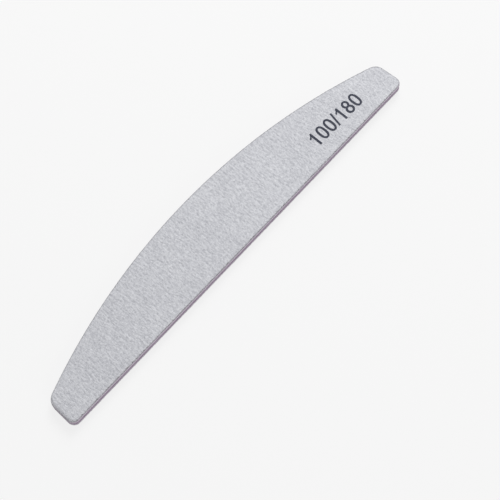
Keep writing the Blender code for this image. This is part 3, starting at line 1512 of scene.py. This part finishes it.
@dataclass
class GradeMark:
    """The grade numbers printed on the coarse face, 100 over 180, as thin ink on the crinkled coat.

    A digit is made of strokes in its own box, whose corner is on the baseline. The mark's own turn and
    place then carry it to the board.
    """

    coat: Coat
    finish: Finish
    name: str = "printed_grade"
    text: str = "100/180"
    start: tuple[float, float] = (46.74 * MM, -8.21 * MM)
    turn: float = math.radians(-0.84)
    digit_height: float = 6.06 * MM
    digit_width: float = 3.58 * MM
    advance: float = 4.13 * MM
    slash_advance: float = 2.08 * MM
    slash_start: float = -0.25 * MM
    slash_share: float = 0.85
    stem: float = 0.96 * MM
    bar: float = 0.82 * MM
    waist: float = 0.585
    upper_share: float = 0.9
    power: float = 2.35
    hair: float = 0.004 * MM
    least_width: float = 0.03 * MM
    ink: float = 0.020 * MM
    bite: float = 0.012 * MM
    ring_cells: int = 96
    across_cells: int = 5
    stem_cells: int = 12
    slash_cells: int = 40
    weld: float = 0.0002 * MM
    sharp_angle: float = math.radians(40)

    def __post_init__(self) -> None:
        """Set the angles at which the rings are sampled."""
        self.angle = np.linspace(0, 2 * math.pi, self.ring_cells, endpoint=False)

    def ring(self, width: float, height: float, power: float = 2.0) -> Stroke:
        """A ring about the origin, between two superellipses.

        Args:
            width: Half its outer width.
            height: Half its outer height.
            power: How square its shoulders are.

        Returns:
            The ring, stem wide at its sides and bar wide at its top and foot.
        """
        outer = superellipse(self.angle, width, height, power)
        return Stroke(outer, superellipse(self.angle, width - self.stem, height - self.bar, power), True)

    def zero(self) -> list[Stroke]:
        """A nought: one ring."""
        centre = np.array((self.digit_width, self.digit_height)) / 2
        return [self.ring(*centre, self.power).moved(centre)]

    def one(self) -> list[Stroke]:
        """A one: a stem whose ribbon turns at the top, about the foot of its flag, into the flag.

        Its corners are in shares of the digit's box.

        Returns:
            Its one stroke.
        """
        box = np.array((self.digit_width, self.digit_height))
        stem, right, foot_height, flag_end = self.stem / self.digit_width, 0.715, 0.775, 0.13
        left = right - stem
        foot, crown = (left, foot_height), (left + 0.30 * stem, 1.0)
        lower = ((left, 0.0), foot, foot, foot, (0.33, 0.69), (flag_end, 0.635))
        upper = ((right, 0.0), (right, foot_height), (right, 1.0), crown, (0.36, 0.84), (flag_end, 0.76))
        rails = (subdivide(np.array(rail) * box, self.stem_cells) for rail in (lower, upper))
        return [Stroke(*rails, False)]

    def eight(self) -> list[Stroke]:
        """An eight: a full lower ring, and an upper ring that ends where it meets the lower one.

        A ray from the upper ring's centre stops at the upper ring's own outer ellipse, or sooner at the
        lower ring's outer ellipse, where x^2 / a^2 + y^2 / b^2 = 1 gives a quadratic for its length. It
        stops a hair short there, so that the two rings share no edge.

        Returns:
            Its two rings.
        """
        waist = self.waist * self.digit_height
        low_centre = np.array((self.digit_width, waist)) / 2
        low = self.ring(*low_centre)
        counter_foot, counter_top = waist + self.least_width, self.digit_height - self.bar
        top_centre = np.array((low_centre[0], (counter_foot + counter_top) / 2))
        half_height = (counter_top - counter_foot) / 2 + self.bar
        top = self.ring(self.upper_share * low_centre[0], half_height)

        length = np.linalg.norm(top.left, axis=1)
        ray = top.left / length[:, None]
        away, start = ray / low_centre, (top_centre - low_centre) / low_centre
        square, cross, rest = (away**2).sum(1), away @ start, start @ start - 1
        inside = cross**2 - square * rest
        hit = np.where((inside > 0) & (cross < 0), (-cross - np.sqrt(np.abs(inside))) / square, np.inf)
        reach = np.minimum(length, hit - self.hair)

        direction, inner_direction = (np.arctan2(side[:, 1], side[:, 0]) for side in (ray, top.right))
        order = np.argsort(direction)
        own = np.interp(inner_direction, direction[order], reach[order])
        inner_ray = top.right / np.linalg.norm(top.right, axis=1)[:, None]
        top = Stroke(inner_ray * own[:, None], top.right, True)
        return [low.moved(low_centre), top.moved(top_centre)]

    def slash(self) -> list[Stroke]:
        """A slash: a leaning bar from the baseline to the digits' tops.

        Returns:
            Its one stroke.
        """
        width = self.slash_share * self.stem
        left = np.array(((0.0, 0.0), (self.slash_advance - width, self.digit_height)))
        rails = (subdivide(rail, self.slash_cells) for rail in (left, left + (width, 0.0)))
        return [Stroke(*rails, False)]

    def slab(self, stroke: Stroke, corner: float) -> tuple[Array, list[Indices]]:
        """A stroke as a thin closed slab that follows the crinkled face.

        A rib at u has its points (1 - w) left(u) + w right(u), with w from 0 to 1, once on top of the
        ink and once, the other way round, under it.

        Args:
            stroke: The stroke, in its digit's box.
            corner: Where that box starts along the baseline.

        Returns:
            The slab's points and its faces.
        """
        share = np.linspace(0, 1, self.across_cells + 1)[None, :, None]
        flat = stroke.left[:, None] * (1 - share) + stroke.right[:, None] * share + (corner, 0.0)
        cosine, sine = math.cos(self.turn), math.sin(self.turn)
        x = self.start[0] + flat[..., 0] * cosine - flat[..., 1] * sine
        y = self.start[1] + flat[..., 0] * sine + flat[..., 1] * cosine
        face = self.coat.upper - self.coat.sink(self.coat.ridge_tone(x, y))
        top, under = np.dstack((x, y, face + self.ink)), np.dstack((x, y, face - self.bite))
        rib = np.concatenate((top, under[:, ::-1]), axis=1)
        ids = np.arange(rib.shape[0] * rib.shape[1]).reshape(rib.shape[:2])
        faces = [grid_quads(np.vstack((ids, ids[:1])) if stroke.closed else ids, wraps=True)]
        if not stroke.closed:
            half = self.across_cells + 1
            faces += [grid_quads(np.vstack((end[:half], end[half:][::-1]))) for end in (ids[0], ids[-1])]
        return rib.reshape(-1, 3), faces

    def build(self) -> bpy.types.Object:
        """Print the mark on the coat.

        Returns:
            The piece.
        """
        shapes = {"0": self.zero, "1": self.one, "8": self.eight, "/": self.slash}
        points, faces, corner = [], [], 0.0
        for letter in self.text:
            offset = corner + (self.slash_start if letter == "/" else 0.0)
            for stroke in shapes[letter]():
                slab_points, slab_faces = self.slab(stroke, offset)
                faces += [group + sum(map(len, points)) for group in slab_faces]
                points.append(slab_points)
            corner += self.slash_advance if letter == "/" else self.advance
        mesh = make_mesh(self.name, np.concatenate(points), faces)
        builder = bmesh.new()
        builder.from_mesh(mesh)
        bmesh.ops.remove_doubles(builder, verts=builder.verts, dist=self.weld)
        bmesh.ops.recalc_face_normals(builder, faces=builder.faces)
        builder.to_mesh(mesh)
        builder.free()
        mesh.shade_smooth()
        mesh.set_sharp_from_angle(angle=self.sharp_angle)
        log.info("%s: %d faces", self.name, len(mesh.polygons))
        return add_piece(self.name, mesh, self.finish.material())


@dataclass
class Board:
    """The whole laminate, from one outline and one pinch of the die."""

    pinch: Pinch = field(default_factory=Pinch)

    def __post_init__(self) -> None:
        """Take the outline's length and width from the solid core."""
        low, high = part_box("core_board")
        self.outline = Outline(length=high.x - low.x, width=high.y - low.y)
        self.paper = PaperFinish("grey_backing_paper", roughness=0.85, specular=0.25)
        self.glue = GlueFinish("clear_adhesive", roughness=0.30)
        self.foam = FoamFinish("pale_lilac_foam", roughness=0.85, specular=0.25)
        self.core = CoreFinish("plum_plastic", roughness=0.42)

    def lay(self, kind: type[Layer], names: tuple[str, str, str], finish: Finish, **sizes: object) -> Layer:
        """Build one layer on the board's outline and pinch.

        Args:
            kind: The layer's class.
            names: The piece, the node that it stands for, and its material slot, which is not used.
            finish: Its finish.
            sizes: What this layer has of its own.

        Returns:
            The layer.
        """
        layer = kind(*names, finish, self.outline, self.pinch, **sizes)
        layer.build()
        return layer

    def sheet(self, grade: Grade) -> Layer:
        """Build the coat, its paper and the film under them on one side of the board.

        Args:
            grade: The side's grade.

        Returns:
            The coat, which the grade mark is printed on.
        """
        number = grade.value
        pulls = {"upper_pull": grade.rim_pull, "lower_pull": grade.rim_pull}
        slot, grit, crinkles = "coarse_coat", {}, {}
        if grade is Grade.FINE:
            slot, grit = "fine_coat", {"grain": 0.20 * MM, "relief": 0.018 * MM}
            crinkles = {"ridge_pitch": 1.3 * MM, "ridge_depth": 0.010 * MM, "seed": 17}
        finish = GritFinish(f"grey_grit_{number}", roughness=0.80, specular=0.30, **grit)
        names = (f"crinkled_coat_{number}", f"grit_coat_{number}", slot)
        coat = self.lay(Coat, names, finish, grade=grade, **crinkles, **pulls)
        names = (f"paper_sheet_{number}", f"backing_paper_{number}", "backing_paper")
        self.lay(Paper, names, self.paper, **pulls)
        names = (f"paper_film_{number}", f"paper_adhesive_{number}", "adhesive")
        self.lay(Glue, names, self.glue, **pulls)
        return coat

    def cushion(self, grade: Grade) -> None:
        """Build the foam on one side of the core, and the film that holds it there.

        Args:
            grade: The side's grade.
        """
        number = grade.value
        self.lay(Glue, (f"core_film_{number}", f"core_adhesive_{number}", "adhesive"), self.glue)
        outer = {"upper_pull" if grade is Grade.COARSE else "lower_pull": grade.rim_pull}
        self.lay(Foam, (f"foam_pad_{number}", f"foam_layer_{number}", "foam"), self.foam, **outer)

    def build(self) -> None:
        """Build every layer, then print the grade on the coarse coat."""
        self.lay(Core, ("plastic_core", "core_board", "core"), self.core)
        for grade in Grade:
            self.cushion(grade)
        coats = {grade: self.sheet(grade) for grade in Grade}
        GradeMark(coats[Grade.COARSE], InkFinish("navy_ink", roughness=0.55, specular=0.3)).build()


@dataclass
class Softbox:
    """A square lamp that gives a level white face at its aim the named share of white."""

    name: str
    place: tuple[float, float, float]
    size: float
    share: float
    aim: tuple[float, float, float] = (0.0, 0.0, 0.0)

    def build(self) -> None:
        """Hang the lamp and turn it to its aim.

        A lamp of power P at distance d, seen at the angle t from the vertical, lights a level face by
        P cos(t) / (pi d^2), and a white face shows as 1 where that is pi.
        """
        towards = Vector(self.aim) - Vector(self.place)
        cosine = -towards.normalized().z
        light = bpy.data.lights.new(self.name, "AREA")
        light.size = self.size
        light.energy = self.share * math.pi**2 * towards.length_squared / cosine
        lamp = add_object(self.name, light)
        lamp.location = self.place
        lamp.rotation_mode = "QUATERNION"
        lamp.rotation_quaternion = towards.to_track_quat("-Z", "Y")


@dataclass
class Studio:
    """The pale floor, the soft lamps, the sky and the camera."""

    floor_size: float = 6.0
    floor_drop: float = 0.02 * MM
    sky_share: float = 0.36
    sky_seen: float = 0.93
    azimuth: float = math.radians(-43.61)
    elevation: float = math.radians(67.02)
    roll: float = math.radians(-5.00)
    aim: tuple[float, float, float] = (-0.755 * MM, -16.65 * MM, 4.14 * MM)
    distance: float = 448.7 * MM
    lens: float = 89.74
    nearest: float = 10 * MM

    def build_camera(self) -> None:
        """Stand the camera where the photograph was taken from.

        It looks at its aim from azimuth and elevation, and is then rolled about its line of sight.
        """
        level, rise = math.cos(self.elevation), math.sin(self.elevation)
        back = Vector((math.sin(self.azimuth) * level, -math.cos(self.azimuth) * level, rise))
        camera = add_object("camera", bpy.data.cameras.new("camera"))
        camera.data.lens = self.lens
        camera.data.clip_start = self.nearest
        camera.location = Vector(self.aim) + back * self.distance
        camera.rotation_mode = "QUATERNION"
        upright = (-back).to_track_quat("-Z", "Y")
        camera.rotation_quaternion = upright @ Quaternion((0.0, 0.0, 1.0), self.roll)
        bpy.context.scene.camera = camera

    def build_floor(self) -> None:
        """Lay the floor just under the board."""
        half = self.floor_size / 2
        corners = np.array(((-half, -half), (half, -half), (half, half), (-half, half)))
        points = np.column_stack((corners, np.full(len(corners), -self.floor_drop)))
        mesh = make_mesh("floor", points, [np.arange(len(corners))[None]])
        mesh.materials.append(FloorFinish("pale_table", roughness=0.9, specular=0.0).material())
        add_object("floor", mesh)

    def build_light(self) -> None:
        """Light the board from the far right, with an even sky for the shadows."""
        Softbox("key_lamp", place=(0.54, 0.30, 0.58), size=0.5, share=0.57).build()
        Softbox("front_lamp", place=(-0.25, -0.90, 0.36), size=0.6, share=0.085).build()
        world = bpy.data.worlds.new("sky")
        world.use_nodes = True
        nodes = Nodes(world.node_tree)
        seen_more = self.sky_seen - self.sky_share
        strength = nodes.maths("MULTIPLY_ADD", nodes.mirror_seen(), seen_more, self.sky_share)
        background = world.node_tree.nodes["Background"]
        nodes.feed(background.inputs["Color"], WHITE)
        nodes.feed(background.inputs["Strength"], strength)
        bpy.context.scene.world = world

    def build(self) -> None:
        """Set up the whole studio."""
        bpy.context.scene.view_settings.view_transform = "Standard"
        self.build_camera()
        self.build_floor()
        self.build_light()
        log.info("studio: camera at %.0f mm, lens %.1f mm", self.distance / MM, self.lens)


def main() -> None:
    """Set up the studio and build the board."""
    logging.basicConfig(level=logging.INFO, format="%(message)s")
    Studio().build()
    Board().build()


if __name__ == "__main__":
    main()
